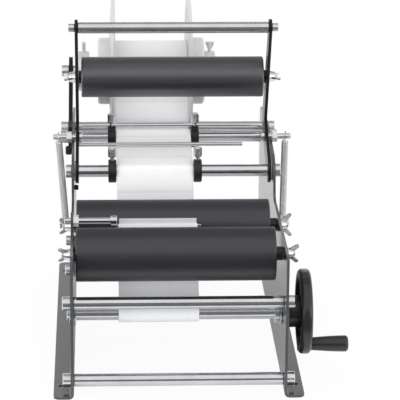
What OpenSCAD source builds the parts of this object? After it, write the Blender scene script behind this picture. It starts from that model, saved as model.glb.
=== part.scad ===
// Hand-cranked bottle labelling machine: two side plates on tie rods, two lower rollers that cradle the
// bottle, a swinging top roller, a label reel at the back and a crank that winds the empty liner.
// Millimetres. The origin lies on the floor at the centre of the four foot holes; +X is the crank side,
// +Y points to the back and +Z up. Points marked [depth, height] are measured from the plates' front edge
// and from the floor.

/* [Side plates] */
// Depth of the side plates from front to back
plate_depth = 375; // [365:1:385]
// Thickness of the plate steel
plate_t = 2.5; // [2:0.1:3]
// Clear width between the plates
inner_w = 195; // [193:1:205]
// Height of the low front part of the plates
front_h = 138; // [136:0.5:140]
// Height of the plates at the back end
rear_h = 177; // [174:0.5:180]
// Width of the foot flange beyond the plate
flange_w = 16.5; // [15:0.5:22]
// Distance between the foot holes along the depth
foot_pitch_y = 321; // [300:1:325]
// Diameter of the foot holes
foot_hole_d = 6.5; // [5.5:0.1:7]

/* [Rods] */
// Diameter of the tie rods
rod_d = 12; // [11:0.5:12]
// Front tie rod [depth, height]
front_tie = [16, 13]; // [8:0.5:30]
// Upper tie rod [depth, height]
upper_tie = [28, 84.5]; // [10:0.5:100]
// Rod on which the arms pivot [depth, height]
pivot = [198, 160]; // [150:0.5:210]
// Web guide rod with collars [depth, height]
web_rod = [272, 173.7]; // [160:0.1:280]
// Rear guide rod [depth, height]
rear_rod = [308, 172.8]; // [160:0.1:310]
// Diameter of the two lower guide rods
low_rod_d = 10; // [8:0.5:10]
// Depth of the two lower guide rods
low_rod_y = [158, 96]; // [85:0.1:170]
// How far the lower guide rods lie below the plates' low front edge
low_rod_drop = [36.3, 44.8]; // [30:0.1:50]

/* [Rollers] */
// Diameter of the two lower rollers
low_roller_d = 50; // [44:1:50]
// Depth of the front and rear roller axes
low_axis_y = [40, 122]; // [30:0.5:130]
// How far the two axes lie below the plates' low front edge
low_axis_drop = [10, 9.5]; // [9:0.5:12]
// Room beside the lower rollers, left and right
low_room = [2.5, 8]; // [2.5:0.5:9]
// Diameter of the top roller
top_roller_d = 40; // [36:1:42]
// Room beside the top roller, up to the arms
top_room = 3; // [2.5:0.5:6]
// Thickness of the rubber sleeves
rubber_t = 5; // [3:0.5:6]
// Diameter of the roller axles
axle_d = 8; // [7:0.5:9]
// Diameter of the threaded axle ends
stud_d = 6; // [5:0.5:6.5]
// Play of a sliding or turning fit, on the radius
fit = 0.05; // [0.02:0.01:0.1]
// Clearance between pieces that move past each other
gap = 0.3; // [0.25:0.05:0.4]

/* [Arms] */
// Thickness of the arms
arm_t = 3; // [2.5:0.1:3.5]
// Distance from the plate to the arm
arm_off = 1.5; // [1.2:0.1:2]
// Length of the lower leg, from pivot to elbow
lower_leg = 76; // [70:1:80]
// Arm tie rod at the upper end [depth, height]
arm_top = [210, 302]; // [200:1:310]
// Diameter of the arm tie rod
arm_tie_d = 11; // [10:0.5:12]
// Distance of the top roller axis from the elbow
top_axle_s = 59.8; // [55:0.1:65]
// Travel of the top roller down and up its slot
top_travel = [15, 25]; // [10:1:25]
// Radius of the arm at the pivot, the elbow and the upper end
arm_r = [12, 12, 8]; // [8:0.5:13]

/* [Springs] */
// Spring bolt on the arm [depth, height]
spring_bolt = [238, 183.2]; // [180:0.1:240]
// Spring post on the plate [depth, height]
spring_post = [156, 119.3]; // [110:0.1:160]
// Distance of the spring eyes from the plate: on the post and on the bolt
spring_off = [5.5, 13.5]; // [5.5:0.5:15]
// Outside diameter of the coil
spring_od = 7; // [6.5:0.1:7.5]
// Wire diameter
spring_wire = 1.3; // [1.1:0.1:1.4]
// Number of turns, an even number
spring_turns = 42; // [30:2:42]

/* [Take-up and crank] */
// Take-up shaft axis [depth, height]
crank_axis = [49.6, 67]; // [40:0.1:75]
// Take-up shaft diameter
shaft_d = 14; // [12:0.5:14]
// Diameter of the handwheel
wheel_d = 80; // [76:1:90]
// Diameter of the handwheel hub
hub_d = 30; // [26:1:32]
// Radius on which the handle sits
handle_r = 33; // [30:0.5:33]
// Length of the handle grip
grip_l = 36.7; // [30:0.1:45]
// Diameter of the liner wound on the shaft
wound_d = 18; // [16:0.5:24]

/* [Label reel] */
// Label shaft axis [depth, height]
reel_axis = [382, 213.5]; // [200:0.5:390]
// Diameter of the label shaft
reel_shaft_d = 12; // [10:0.5:12]
// Diameter of the label roll
roll_d = 64; // [50:1:70]
// Diameter of the reel discs
disc_d = 152; // [130:1:153]
// Diameter of the disc hubs
disc_hub_d = 70; // [50:1:72]
// Diameter of the holder collars
holder_d = 42; // [36:1:46]
// Thickness of the label bracket
bracket_t = 4; // [3:0.5:5]

/* [Label web] */
// Width of the liner
web_w = 75; // [60:1:80]
// Centre of the web across the machine
web_x = -18; // [-20:0.5:-10]
// Thickness allowed for liner and labels
web_t = 0.6; // [0.5:0.1:0.7]
// Depth of the peel plate's tip
peel_tip_y = 87.75; // [86:0.05:89]
// Height of the peel plate's tip above the plates' low front edge
peel_tip_up = 2.25; // [1:0.05:4]
// Thickness of the peel plate
peel_t = 1.5; // [1.2:0.1:1.6]
// How far the leading label stands above the peel plate
label_lead = 5; // [2:0.5:8]

/* [Guides and stop] */
// Diameter of the guide collars
guide_d = 23; // [20:0.5:24]
// Width of the guide collars
guide_w = 8; // [6:0.5:10]
// Depth of the bottle stop screw
stop_y = 84; // [80:0.1:86]
// Height of the bottle stop screw above the plates' low front edge
stop_up = 8.4; // [6:0.1:10]
// Reach of the bottle stop from the left plate
stop_reach = 41; // [35:0.1:45]

/* [Hidden] */
$fn = 64;
eps = 0.01;
in_x = inner_w / 2;
out_x = in_x + plate_t;
arm_out = in_x - arm_off;
arm_in = arm_out - arm_t;
front_axis = [low_axis_y[0], front_h - low_axis_drop[0]];
rear_axis = [low_axis_y[1], front_h - low_axis_drop[1]];
low_rod_a = [low_rod_y[0], front_h - low_rod_drop[0]];
low_rod_b = [low_rod_y[1], front_h - low_rod_drop[1]];
low_roller_x = [low_room[0] - in_x, in_x - low_room[1]];
top_roller_l = 2 * (arm_in - top_room);
peel_tip = [peel_tip_y, front_h + peel_tip_up];
stop_pos = [stop_y, front_h + stop_up];
spring_x = [out_x + spring_off[0], out_x + spring_off[1]];
edge_c = 0.6;
bend_r = 2 * plate_t;

// Screw sizes: head diameter and socket width across flats as ratios of the thread
head_ratio = 1.625;
socket_ratio = 0.8;
socket_depth = 0.55;
m8 = 8;
m6 = 6;
m5 = 5;
m4 = 4;
tap_depth = 16;
screw_l = 14;
pivot_head_h = 6;
arm_head_h = 6.5;

// Plate outline: the step up behind the rollers, the crest over the rods and the corner roundings
step_y = [174, 180, 196];
step_z = [168, 176];
crest = [290, 184];
front_round = 6;
step_round = [8, 10, 16];
crest_round = 40;
rear_round = 8;
plate_corners = [[0, bend_r, 0], [0, front_h, front_round], [step_y[0], front_h, step_round[0]],
  [step_y[1], step_z[0], step_round[1]], [step_y[2], step_z[1], step_round[2]],
  [crest[0], crest[1], crest_round], [plate_depth, rear_h, rear_round], [plate_depth, bend_r, 0]];
flange_r = 6;
ear_r = 8;
slot_front = [15, 5];
slot_rear = [3, 12];
slot_play = 0.3;
bush_d = 18;
bush_flange_d = 24;
bush_flange_t = 2;

// Peel plate: working blade, neck to the left plate and end flange, hung from the low front edge
peel_drop = [43, 8];
peel_bottom = front_h - peel_drop[0];
peel_neck_top = front_h - peel_drop[1];
peel_over = 3.5;
peel_flange = [16, 30];
peel_screw_drop = [36, 20];
peel_screw_z = [front_h - peel_screw_drop[0], front_h - peel_screw_drop[1]];
peel_screw_y = 79;
csk_d = 8;
csk_h = 2;
csk_l = 5.5;

// Roller interior
core_t = 3;
plug_l = 14;
plug_recess = 1.5;
sleeve_round = 1.5;
spacer_d = 13;

// Wing nut proportions
wing_base_d = 12;
wing_top_d = 9;
wing_hub_h = 6;
wing_t = 1.8;
wing_tip = [9.4, 9.4];
wing_tip_r = 1.8;
front_wings = [130, 116];
rear_wings = [122, 72];
top_wings = [0, 0];
stud_proud = 2;

// Arm geometry: the lower leg rests on the web guide rod
rest_gap = 0.3;
rod_vec = web_rod - pivot;
rest_reach = max(arm_r[0], arm_r[1]) + rod_d / 2 + rest_gap;
leg_angle = atan2(rod_vec[1], rod_vec[0]) + asin(rest_reach / norm(rod_vec));
elbow = pivot + lower_leg * [cos(leg_angle), sin(leg_angle)];
leg_dir = (arm_top - elbow) / norm(arm_top - elbow);
top_axis = elbow + top_axle_s * leg_dir;
washer_d = 20;
press_d = 4;
press_s = 40.4;
press_over = 50.5;
press_pos = pivot + press_s * [cos(leg_angle - 1), sin(leg_angle - 1)];
bolt_over = 19;
bolt_end = out_x + bolt_over;
bolt_head = [11, 3.5];
nut_af = 10;
nut_h = 5;
post_collar = [10, 2.5];
post_head = [9, 2.2];

// Tension spring: eye radius, lead into the coil and resolution
eye_r = 4.2;
eye_sweep = 300;
eye_steps = 10;
lead_l = 1.9;
lead_steps = 4;
turn_steps = 8;
wire_sides = 6;
coil_r = (spring_od - spring_wire) / 2;

// Crank stations across the machine
wheel_gap = 4;
wheel_hub_l = 17;
rim_set = 13;
rim_w = 11;
hub_x = [out_x + wheel_gap, out_x + wheel_gap + wheel_hub_l];
rim_x = [out_x + rim_set, out_x + rim_set + rim_w];
rim_t = 9;
rim_round = 3.4;
spoke_inset = [3, 3.5];
spoke_x = [rim_x[0] + spoke_inset[0], rim_x[1] - spoke_inset[1]];
hub_wall = 1.5;
spoke_n = 3;
spoke_gap = 78;
opening_r = [18, 28.5];
boss_d = 13;
boss_wall = 2;
grip_d = [12, 15.4];
grip_round = 3;
grip_steps = 8;
spindle_d = 6;
spindle_head = [9, 3.5];
grip_recess = [10, 4.5];
shaft_collar = [22, 4.5];
ring_t = 1.5;
ring_d = 19;
shaft_proud = 4;
shaft_left = -out_x - shaft_proud;

// Label reel stations across the machine
web_lo = web_x - web_w / 2;
web_hi = web_x + web_w / 2;
disc_t = 6;
disc_rim_t = 4;
disc_round = 1.4;
hub_l = 12;
hub_round = 2;
boss_l = 8.7;
reel_boss_d = 30;
plug_d = 38;
plug_len = 16;
holder_w = 11.5;
reel_shaft_over = 2.4;
bracket_r = [11, 11, 15];
wing_screw_d = 4;
wing_screw_proud = 10.5;
screw_wing_root = [1.2, 4.6];
screw_wing_tip = [3.1, 9.2];
screw_wing_r = [1.6, 1.3];
screw_turn = [90, 0];

// Guide collars: left and right stations, knurled screw
guide_play = 0.5;
guide_side = [web_lo - guide_play - guide_w, web_hi + guide_play];
thumb_d = 8.6;
thumb_l = 9.5;
thumb_neck = [4, 3];
knurl_n = 12;
knurl_d = 1.1;

stop_d = 6;
stop_proud = 6;
stop_tail = out_x + stop_proud;
pin_pos = [240, 168.9];
pin_d = 9;
pin_l = 6.5;
bumper_pos = [198, 143.2];
bumper = [5, 4];

// Carries a shape drawn in (depth, height) to a station across the machine; its own Z runs towards +X
module station(x, p = [0, 0])
  translate([x, p[0] - plate_depth / 2, p[1]]) rotate([90, 0, 90]) children();

module both_sides() {
  children();
  mirror([1, 0, 0]) children();
}

function unit(v) = v / norm(v);

// Rounds one corner b between a and c with radius b[2]; sharp when the radius is zero
function round_corner(a, b, c) =
  let (p = [b[0], b[1]], u = unit([a[0], a[1]] - p), w = unit([c[0], c[1]] - p),
       half = acos(u * w) / 2, m = p + unit(u + w) * b[2] / sin(half),
       t0 = p + u * b[2] / tan(half) - m, t1 = p + w * b[2] / tan(half) - m,
       a0 = atan2(t0[1], t0[0]), turn = atan2(t0[0] * t1[1] - t0[1] * t1[0], t0 * t1))
  b[2] == 0 ? [p] : [for (k = [0:round_steps]) let (g = a0 + turn * k / round_steps)
    m + b[2] * [cos(g), sin(g)]];
round_steps = 8;

function round_outline(pts) = let (n = len(pts))
  [for (i = [0:n - 1]) each round_corner(pts[(i + n - 1) % n], pts[i], pts[(i + 1) % n])];

// Flat strap round a row of circles, with straight sides a hair inside the tangents
module strap(centres, radii, h) {
  for (i = [0:len(centres) - 1]) translate(centres[i]) cylinder(r = radii[i], h = h);
  for (i = [0:len(centres) - 2]) linear_extrude(h)
    strap_side(centres[i], centres[i + 1], radii[i] - eps, radii[i + 1] - eps);
}

module strap_side(a, b, ra, rb) {
  phi = atan2(b[1] - a[1], b[0] - a[0]);
  tilt = acos((ra - rb) / norm(b - a));
  polygon([for (q = [[a, ra, tilt], [b, rb, tilt], [b, rb, -tilt], [a, ra, -tilt]])
    q[0] + q[1] * [cos(phi + q[2]), sin(phi + q[2])]]);
}

// Straight slot between two points, through a sheet that is t thick
module slot(a, b, t) translate([0, 0, -eps])
  strap([a, b], [stud_d / 2 + fit, stud_d / 2 + fit], t + 2 * eps);

module bar(d, l, c = edge_c)
  rotate_extrude() polygon([[0, 0], [d / 2 - c, 0], [d / 2, c], [d / 2, l - c], [d / 2 - c, l], [0, l]]);

module ring(d, bore, l, c = edge_c)
  rotate_extrude() polygon([[bore / 2, 0], [d / 2 - c, 0], [d / 2, c], [d / 2, l - c], [d / 2 - c, l],
    [bore / 2, l]]);

// Socket-head screw: the head rises from z = 0, the shank goes down
module cap_screw(d, l, head = 0) {
  h = head > 0 ? head : d;
  difference() {
    union() {
      translate([0, 0, -l]) bar(d, l + h / 2);
      bar(d * head_ratio, h);
    }
    translate([0, 0, h * (1 - socket_depth)]) cylinder(d = d * socket_ratio / cos(30), h = h, $fn = 6);
  }
}

module countersunk() {
  translate([0, 0, -csk_h]) cylinder(d1 = m4, d2 = csk_d, h = csk_h);
  translate([0, 0, -csk_l]) cylinder(d = m4, h = csk_l - csk_h + eps);
}

module wing_nut() difference() {
  union() {
    cylinder(d1 = wing_base_d, d2 = wing_top_d, h = wing_hub_h);
    for (side = [0, 180]) rotate([0, 0, side]) translate([0, wing_t / 2, 0]) rotate([90, 0, 0])
      strap([[wing_base_d / 4, wing_hub_h / 2], wing_tip], [wing_hub_h / 2 - edge_c, wing_tip_r], wing_t);
  }
  translate([0, 0, -eps]) cylinder(d = stud_d, h = wing_hub_h * 2);
}

// Side plates

module plate_body() {
  difference() {
    union() {
      station(in_x) linear_extrude(plate_t) polygon(round_outline(plate_corners));
      foot_bend();
      linear_extrude(plate_t) foot_outline();
    }
    for (p = [front_tie, upper_tie, pivot, web_rod, rear_rod])
      station(in_x - eps, p) cylinder(d = m8 + 2 * fit, h = plate_t + 2 * eps);
    station(in_x - eps, crank_axis) cylinder(d = bush_d, h = plate_t + 2 * eps);
    station(in_x - eps, spring_post) cylinder(d = m6, h = plate_t + 2 * eps);
    station(in_x) axle_slot(front_axis, slot_front);
    station(in_x) axle_slot(rear_axis, slot_rear);
    for (y = [-1, 1]) translate([out_x + foot_inset, y * foot_pitch_y / 2, -eps])
      cylinder(d = foot_hole_d, h = plate_t + 2 * eps);
  }
}
foot_inset = 9;

module axle_slot(p, travel) slot(p - [travel[0] + slot_play, 0], p + [travel[1] + slot_play, 0], plate_t);

// Rounded bend between the plate and its foot flange
module foot_bend() translate([in_x + bend_r, plate_depth / 2, bend_r]) rotate([90, 0, 0])
  linear_extrude(plate_depth) intersection() {
    difference() {
      circle(r = bend_r);
      circle(r = bend_r - plate_t);
    }
    translate([-bend_r, -bend_r]) square(bend_r);
  }

// Plan of the flange with rounded outer corners
module foot_outline() {
  x0 = in_x + bend_r;
  x1 = out_x + flange_w;
  half = plate_depth / 2;
  polygon(round_outline([[x0, -half, 0], [x1, -half, flange_r], [x1, half, flange_r], [x0, half, 0]]));
}

module left_side_plate() color("dimgray") difference() {
  union() {
    mirror([1, 0, 0]) plate_body();
    station(-out_x) linear_extrude(plate_t) {
      translate(stop_pos) circle(r = ear_r);
      translate([stop_pos[0] - ear_r, front_h - ear_r]) square([2 * ear_r, stop_pos[1] - front_h + ear_r]);
    }
  }
  station(-out_x - eps, stop_pos) cylinder(d = stop_d + 2 * fit, h = plate_t + 2 * eps);
  for (p = [low_rod_a, low_rod_b]) station(-out_x - eps, p) cylinder(d = m6 + 2 * fit, h = plate_t + 2 * eps);
  station(-out_x - eps, pin_pos) cylinder(d = m4, h = plate_t + 2 * eps);
  peel_screws();
}

module right_side_plate() color("dimgray") plate_body();

// Rods

module tie_bar(p, half, d = rod_d, thread = m8) difference() {
  station(-half, p) bar(d, 2 * half);
  both_sides() station(half - tap_depth, p) cylinder(d = thread, h = tap_depth + eps);
}

module front_tie_rod() color("silver") tie_bar(front_tie, in_x);
module upper_tie_rod() color("silver") tie_bar(upper_tie, in_x);
module pivot_rod() color("silver") tie_bar(pivot, in_x);
module web_guide_rod() color("silver") tie_bar(web_rod, in_x);
module rear_guide_rod() color("silver") tie_bar(rear_rod, in_x);

module lower_guide_rods() color("silver") for (p = [low_rod_a, low_rod_b]) difference() {
  station(-in_x, p) bar(low_rod_d, in_x + web_hi + peel_over);
  station(-in_x - eps, p) cylinder(d = m6, h = tap_depth);
}

module peel_screws() for (z = peel_screw_z)
  station(-out_x, [peel_screw_y, z]) rotate([180, 0, 0]) countersunk();

module left_screw(x, p, d, l) mirror([1, 0, 0]) station(x, p) cap_screw(d, l);

module frame_screws() color("gainsboro") {
  for (p = [front_tie, upper_tie, web_rod, rear_rod]) station(out_x, p) cap_screw(m8, screw_l);
  for (p = [front_tie, upper_tie]) left_screw(out_x, p, m8, screw_l);
  both_sides() station(out_x, pivot) cap_screw(m8, screw_l, pivot_head_h);
  for (p = [web_rod, rear_rod, reel_axis]) left_screw(out_x + bracket_t, p, m8, screw_l + bracket_t / 2);
  for (p = [low_rod_a, low_rod_b]) left_screw(out_x, p, m6, screw_l);
  peel_screws();
  both_sides() station(in_x, spring_post) {
    cylinder(d = m6, h = spring_x[0] + eye_r - in_x);
    translate([0, 0, plate_t]) cylinder(d = post_collar[0], h = post_collar[1]);
    translate([0, 0, spring_x[0] + eye_r - in_x - eps]) bar(post_head[0], post_head[1]);
  }
  station(-in_x, stop_pos) difference() {
    cylinder(d = nut_af / cos(30), h = nut_h, $fn = 6);
    translate([0, 0, -eps]) cylinder(d = stop_d + 2 * fit, h = nut_h + 2 * eps);
  }
}

module peel_plate() color("lightgray") difference() {
  union() {
    translate([0, peel_tip[0] - plate_depth / 2 + peel_t / 2, 0]) rotate([90, 0, 0]) linear_extrude(peel_t)
      polygon([[-in_x, peel_bottom], [web_hi + peel_over, peel_bottom], [web_hi + peel_over, peel_tip[1]],
        [web_lo - peel_over, peel_tip[1]], [web_lo - peel_over, peel_neck_top], [-in_x, peel_neck_top]]);
    station(web_lo - peel_over, peel_tip) cylinder(d = peel_t, h = web_w + 2 * peel_over);
    station(-in_x) translate([peel_tip[0] + peel_t / 2 - peel_flange[0], peel_bottom])
      linear_extrude(peel_t) square(peel_flange);
  }
  peel_screws();
}

module stop_pin() color("black") mirror([1, 0, 0]) {
  station(out_x, pin_pos) bar(pin_d, pin_l, 2 * edge_c);
  station(in_x, pin_pos) cylinder(d = m4, h = plate_t + eps);
  station(in_x - bumper[1], bumper_pos) bar(bumper[0], bumper[1]);
}

module shaft_bushes() color("silver") both_sides() {
  station(in_x - bush_flange_t, crank_axis) ring(bush_flange_d, shaft_d + 2 * fit, bush_flange_t);
  station(in_x - eps, crank_axis) ring(bush_d, shaft_d + 2 * fit, plate_t + eps, edge_c / 2);
}

// Rollers

module sleeve(p, d, x0, l) station(x0, p) rotate_extrude() {
  r = d / 2;
  e = sleeve_round;
  translate([r - rubber_t, 0]) square([rubber_t - e, l]);
  translate([r - rubber_t, e]) square([rubber_t, l - 2 * e]);
  for (z = [e, l - e]) translate([r - e, z]) circle(r = e);
}

module core(p, d, x0, l) {
  r = d / 2 - rubber_t;
  bore = axle_d / 2 + fit;
  station(x0, p) rotate_extrude() {
    translate([r - core_t, 0]) square([core_t, l]);
    for (z = [plug_recess, l - plug_recess - plug_l]) translate([bore, z]) square([r - bore - eps, plug_l]);
    for (z = [0, l - 2 * plug_recess]) translate([bore, z]) square([axle_d / 2, 2 * plug_recess]);
  }
}

module axle(p, half, outer) {
  station(gap - half, p) bar(axle_d, 2 * (half - gap));
  both_sides() station(0, p) bar(stud_d, outer + gap + wing_hub_h + stud_proud);
}

// Spacers fill the axle between the roller ends and the plates or arms
module spacers(p, x0, x1, half) {
  station(x1 + gap, p) ring(spacer_d, axle_d, half - x1 - 2 * gap);
  station(gap - half, p) ring(spacer_d, axle_d, x0 + half - 2 * gap);
}

// Wing nuts at both ends, each left standing at its own angle: [left, right]
module wing_nuts(p, outer, turn) {
  mirror([1, 0, 0]) station(outer + gap, p) rotate([0, 0, turn[0]]) wing_nut();
  station(outer + gap, p) rotate([0, 0, turn[1]]) wing_nut();
}

low_l = low_roller_x[1] - low_roller_x[0];
top_lo = -top_roller_l / 2;

module front_sleeve() color([0.2, 0.2, 0.22]) sleeve(front_axis, low_roller_d, low_roller_x[0], low_l);
module front_core() color("silver") core(front_axis, low_roller_d, low_roller_x[0], low_l);
module front_axle() color("silver") axle(front_axis, in_x, out_x);
module front_spacers() color("black") spacers(front_axis, low_roller_x[0], low_roller_x[1], in_x);
module front_wing_nuts() color("gainsboro") wing_nuts(front_axis, out_x, front_wings);
module rear_sleeve() color([0.2, 0.2, 0.22]) sleeve(rear_axis, low_roller_d, low_roller_x[0], low_l);
module rear_core() color("silver") core(rear_axis, low_roller_d, low_roller_x[0], low_l);
module rear_axle() color("silver") axle(rear_axis, in_x, out_x);
module rear_spacers() color("black") spacers(rear_axis, low_roller_x[0], low_roller_x[1], in_x);
module rear_wing_nuts() color("gainsboro") wing_nuts(rear_axis, out_x, rear_wings);
module top_sleeve() color([0.2, 0.2, 0.22]) sleeve(top_axis, top_roller_d, top_lo, top_roller_l);
module top_core() color("silver") core(top_axis, top_roller_d, top_lo, top_roller_l);
module top_axle() color("silver") axle(top_axis, arm_in, arm_out);
module top_spacers() color("black") spacers(top_axis, top_lo, -top_lo, arm_in);
module top_wing_nuts() color("gainsboro") wing_nuts(top_axis, arm_out, top_wings);

// Arms

module arm() difference() {
  station(arm_in) strap([pivot, elbow, arm_top], arm_r, arm_t);
  station(arm_in - eps, pivot) cylinder(d = rod_d + 2 * fit, h = arm_t + 2 * eps);
  station(arm_in - eps, arm_top) cylinder(d = m5, h = arm_t + 2 * eps);
  station(arm_in - eps, spring_bolt) cylinder(d = m6, h = arm_t + 2 * eps);
  station(arm_in) slot(top_axis - (top_travel[0] + slot_play) * leg_dir,
    top_axis + (top_travel[1] + slot_play) * leg_dir, arm_t);
}

module left_arm() color([0.1, 0.1, 0.1]) difference() {
  mirror([1, 0, 0]) arm();
  station(-arm_out - eps, press_pos) cylinder(d = press_d, h = arm_t + 2 * eps);
}

module right_arm() color([0.1, 0.1, 0.1]) arm();

module arm_tie_rod() color("silver") tie_bar(arm_top, arm_in, arm_tie_d, m5);

module arm_screws() color("gainsboro") both_sides() {
  station(arm_out, arm_top) cap_screw(m5, screw_l, arm_head_h);
  station(arm_in - bolt_head[1], spring_bolt) {
    bar(bolt_head[0], bolt_head[1]);
    bar(m6, bolt_end - arm_in + bolt_head[1]);
  }
  station(out_x + gap, spring_bolt) cylinder(d = nut_af / cos(30), h = nut_h, $fn = 6);
}

module arm_washers() color("whitesmoke") both_sides() station(arm_out, pivot)
  ring(washer_d, rod_d + 2 * fit, arm_off - gap, edge_c / 2);

module web_press_rod() color("silver") station(-arm_out, press_pos)
  bar(press_d, arm_out + web_hi + press_over);

// Tension spring: one wire from eye to eye, the same from either end

spring_vec = spring_bolt - spring_post;
spring_l = norm([spring_x[1] - spring_x[0], spring_vec[0], spring_vec[1]]);
coil_l = spring_l - 2 * (eye_r + lead_l);
half_turns = spring_turns / 2;
coil_gap = coil_l / spring_turns - spring_wire;
echo(spring_coil_gap = coil_gap);

half_wire = concat(
  [for (k = [0:eye_steps]) let (g = 90 - eye_sweep * (1 - k / eye_steps))
    [eye_r * cos(g), 0, eye_r * sin(g)]],
  [for (k = [1:lead_steps]) let (u = k / lead_steps, g = 180 + 180 * u, r = coil_r * u * (2 - u))
    [r * cos(g), r * sin(g), eye_r + lead_l * u]],
  [for (k = [1:half_turns * turn_steps]) let (g = 360 * k / turn_steps)
    [coil_r * cos(g), coil_r * sin(g), eye_r + lead_l + coil_l * k / turn_steps / spring_turns]]);
wire = let (n = len(half_wire)) concat(half_wire,
  [for (k = [n - 2:-1:0]) [half_wire[k][0], -half_wire[k][1], spring_l - half_wire[k][2]]]);

function tangent(p, i) = unit(p[min(i + 1, len(p) - 1)] - p[max(i - 1, 0)]);
function square_to(v, t) = unit(v - (v * t) * t);

// Carries the ring frames along the wire without twist
function carried(p) = [for (i = 0, v = square_to([0, 1, 0], tangent(p, 0)); i < len(p);
  i = i + 1, v = i < len(p) ? square_to(v, tangent(p, i)) : v) v];

module swept_wire(p, d, sides) {
  normals = carried(p);
  n = len(p);
  points = [for (i = [0:n - 1]) let (t = tangent(p, i), a = normals[i], b = cross(t, a))
    for (j = [0:sides - 1]) p[i] + d / 2 * (cos(360 * j / sides) * a + sin(360 * j / sides) * b)];
  walls = [for (i = [0:n - 2]) for (j = [0:sides - 1]) let (k = (j + 1) % sides)
    each [[i * sides + j, (i + 1) * sides + j, i * sides + k],
          [i * sides + k, (i + 1) * sides + j, (i + 1) * sides + k]]];
  polyhedron(points, concat(walls, [[for (j = [0:sides - 1]) j]],
    [[for (j = [sides - 1:-1:0]) (n - 1) * sides + j]]));
}

spring_rise = atan2(spring_vec[1], spring_vec[0]);
spring_lean = asin((spring_x[1] - spring_x[0]) / spring_l);

module spring() station(spring_x[0], spring_post) rotate([0, 0, spring_rise])
  rotate([0, 90 - spring_lean, 0]) rotate([0, 0, 90]) swept_wire(wire, spring_wire, wire_sides);

module right_spring() color("gainsboro") spring();
module left_spring() color("gainsboro") mirror([1, 0, 0]) spring();

// Crank

module take_up_shaft() color("silver") station(shaft_left, crank_axis)
  bar(shaft_d, hub_x[1] - hub_wall - shaft_left);

module shaft_collars() color("silver") {
  station(in_x - bush_flange_t - gap - shaft_collar[1], crank_axis)
    ring(shaft_collar[0], shaft_d, shaft_collar[1]);
  station(-out_x - gap - ring_t, crank_axis) ring(ring_d, shaft_d, ring_t, edge_c / 2);
}

// Rim, flat spokes and hub of the handwheel, drawn outwards from the hub's inner face
module wheel_profile() {
  rim_z = rim_x[0] - hub_x[0];
  rim_w = rim_x[1] - rim_x[0];
  r = wheel_d / 2;
  square([hub_d / 2, hub_x[1] - hub_x[0]]);
  translate([hub_d / 2 - eps, spoke_x[0] - hub_x[0]])
    square([r - rim_t - hub_d / 2 + rim_round, spoke_x[1] - spoke_x[0]]);
  for (a = [r - rim_t + rim_round, r - rim_round], z = [rim_z + rim_round, rim_z + rim_w - rim_round])
    translate([a, z]) circle(r = rim_round);
  translate([r - rim_t, rim_z + rim_round]) square([rim_t, rim_w - 2 * rim_round]);
  translate([r - rim_t + rim_round, rim_z]) square([rim_t - 2 * rim_round, rim_w]);
}

handle_pos = crank_axis - [0, handle_r];

module handwheel() color([0.08, 0.08, 0.08]) difference() {
  union() {
    difference() {
      station(hub_x[0], crank_axis) rotate_extrude() wheel_profile();
      station(hub_x[0], crank_axis) for (k = [0:spoke_n - 1]) rotate([0, 0, 30 + 360 * k / spoke_n])
        linear_extrude(rim_x[1]) opening();
    }
    station(rim_x[0], handle_pos) cylinder(d = boss_d, h = rim_x[1] - rim_x[0]);
  }
  station(hub_x[0] - eps, crank_axis) cylinder(d = shaft_d, h = hub_x[1] - hub_x[0] - hub_wall + eps);
  station(spindle_x, handle_pos) cylinder(d = spindle_d, h = rim_x[1]);
}

// One kidney opening between two spokes
module opening() intersection() {
  difference() {
    circle(r = opening_r[1]);
    circle(r = opening_r[0]);
  }
  polygon([[0, 0], for (a = [-0.5, 0, 0.5]) wheel_d * [cos(spoke_gap * a), sin(spoke_gap * a)]]);
}

spindle_x = rim_x[0] + boss_wall;
grip_x = rim_x[1] + gap;
spindle_len = grip_x + grip_l - grip_recess[1] + gap - spindle_x;

module handle_spindle() color("silver") difference() {
  union() {
    station(spindle_x, handle_pos) cylinder(d = spindle_d, h = spindle_len);
    station(spindle_x + spindle_len - eps, handle_pos) bar(spindle_head[0], spindle_head[1]);
  }
  station(spindle_x + spindle_len + spindle_head[1] / 2, handle_pos)
    cylinder(d = m4 / cos(30), h = spindle_head[1], $fn = 6);
}

// Grip: swells from the wheel to its rounded outer end, where a recess takes the spindle head
module handle_grip() color([0.08, 0.08, 0.08]) station(grip_x, handle_pos) rotate_extrude()
  polygon(concat([[spindle_d / 2 + fit, 0], [grip_d[0] / 2 - edge_c, 0]],
    [for (k = [0:grip_steps]) let (u = k / grip_steps, swell = (grip_d[1] - grip_d[0]) / 2)
      [grip_d[0] / 2 + swell * sin(90 * u), edge_c + (grip_l - grip_round - edge_c) * u]],
    [for (k = [1:round_steps]) let (g = 90 * k / round_steps)
      [grip_d[1] / 2 - grip_round * (1 - cos(g)), grip_l - grip_round * (1 - sin(g))]],
    [[grip_recess[0] / 2, grip_l], [grip_recess[0] / 2, grip_l - grip_recess[1]],
     [spindle_d / 2 + fit, grip_l - grip_recess[1]]]));

module wound_liner() color("white") station(web_lo, crank_axis) ring(wound_d, shaft_d, web_w, edge_c / 2);

// Label web: [centre, radius, sense] of every turn, +1 where it runs anticlockwise seen from the crank side

lay = gap + web_t / 2;
turns = [[reel_axis, roll_d / 2 + lay, 1], [rear_rod, rod_d / 2 + lay, -1], [web_rod, rod_d / 2 + lay, 1],
  [pivot, rod_d / 2 + lay, 1], [low_rod_a, low_rod_d / 2 + lay, -1], [low_rod_b, low_rod_d / 2 + lay, -1],
  [peel_tip, peel_t / 2 + lay, 1], [crank_axis, wound_d / 2 + lay, 1]];

// Heading of the straight run from turn a to turn b
function heading(a, b) = let (d = b[0] - a[0])
  atan2(d[1], d[0]) - asin((b[2] * b[1] - a[2] * a[1]) / norm(d));
headings = [for (i = [0:len(turns) - 2]) heading(turns[i], turns[i + 1])];
arc_steps = 8;

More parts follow.
